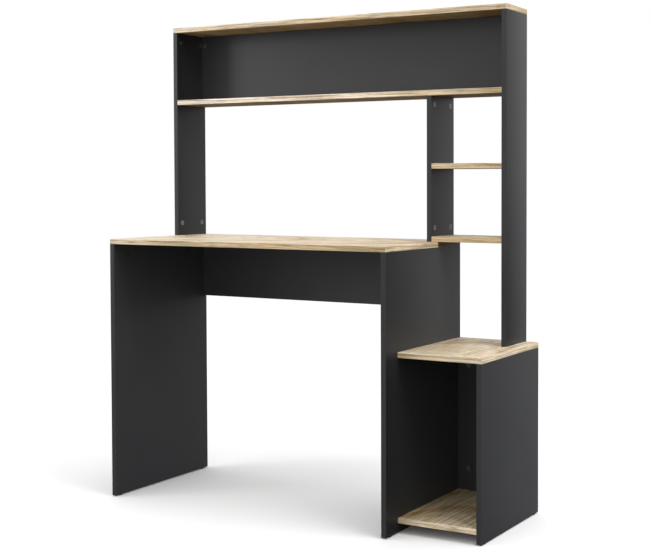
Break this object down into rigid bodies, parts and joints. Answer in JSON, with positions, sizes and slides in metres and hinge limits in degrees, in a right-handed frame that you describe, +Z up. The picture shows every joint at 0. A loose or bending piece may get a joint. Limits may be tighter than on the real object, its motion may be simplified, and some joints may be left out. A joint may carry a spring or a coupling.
{
  "type": "student desk with hutch",
  "caption": "Flat-pack student desk with an open hutch of shelves over the desktop and an open tower niche beside the right leg, in light oak and anthracite boards.",
  "frame": {"origin": "on the floor under the middle of the outline", "axes": "+X to the right seen from the front, +Y to the back, +Z up"},
  "size_m": [1.196, 0.42, 1.417],
  "materials": {
    "oak_decor": "matt light oak melamine",
    "anthracite_decor": "matt anthracite melamine",
    "zinc": "die-cast zinc, dull",
    "steel": "zinc-plated steel",
    "beech": "raw beech",
    "glide_plastic": "black moulded plastic"
  },
  "bodies": {
    "root": {"desktop": "oak_decor", "tower_top": "oak_decor", "tower_bottom": "oak_decor", "hutch_top": "oak_decor", "hutch_long_shelf": "oak_decor", "hutch_middle_shelf": "oak_decor", "hutch_lower_shelf": "oak_decor", "left_leg_panel": "anthracite_decor", "right_leg_panel": "anthracite_decor", "modesty_panel": "anthracite_decor", "tower_side_panel": "anthracite_decor", "tower_back_panel": "anthracite_decor", "hutch_left_panel": "anthracite_decor", "hutch_right_panel": "anthracite_decor", "hutch_divider": "anthracite_decor", "hutch_back_panel": "anthracite_decor", "desk_cam_discs": "zinc", "tower_cam_discs": "zinc", "hutch_cam_discs": "zinc", "desk_cam_bolts": "steel", "tower_cam_bolts": "steel", "hutch_cam_bolts": "steel", "desk_dowels": "beech", "tower_dowels": "beech", "hutch_dowels": "beech", "floor_glides": "glide_plastic"}
  },
  "joints": []
}
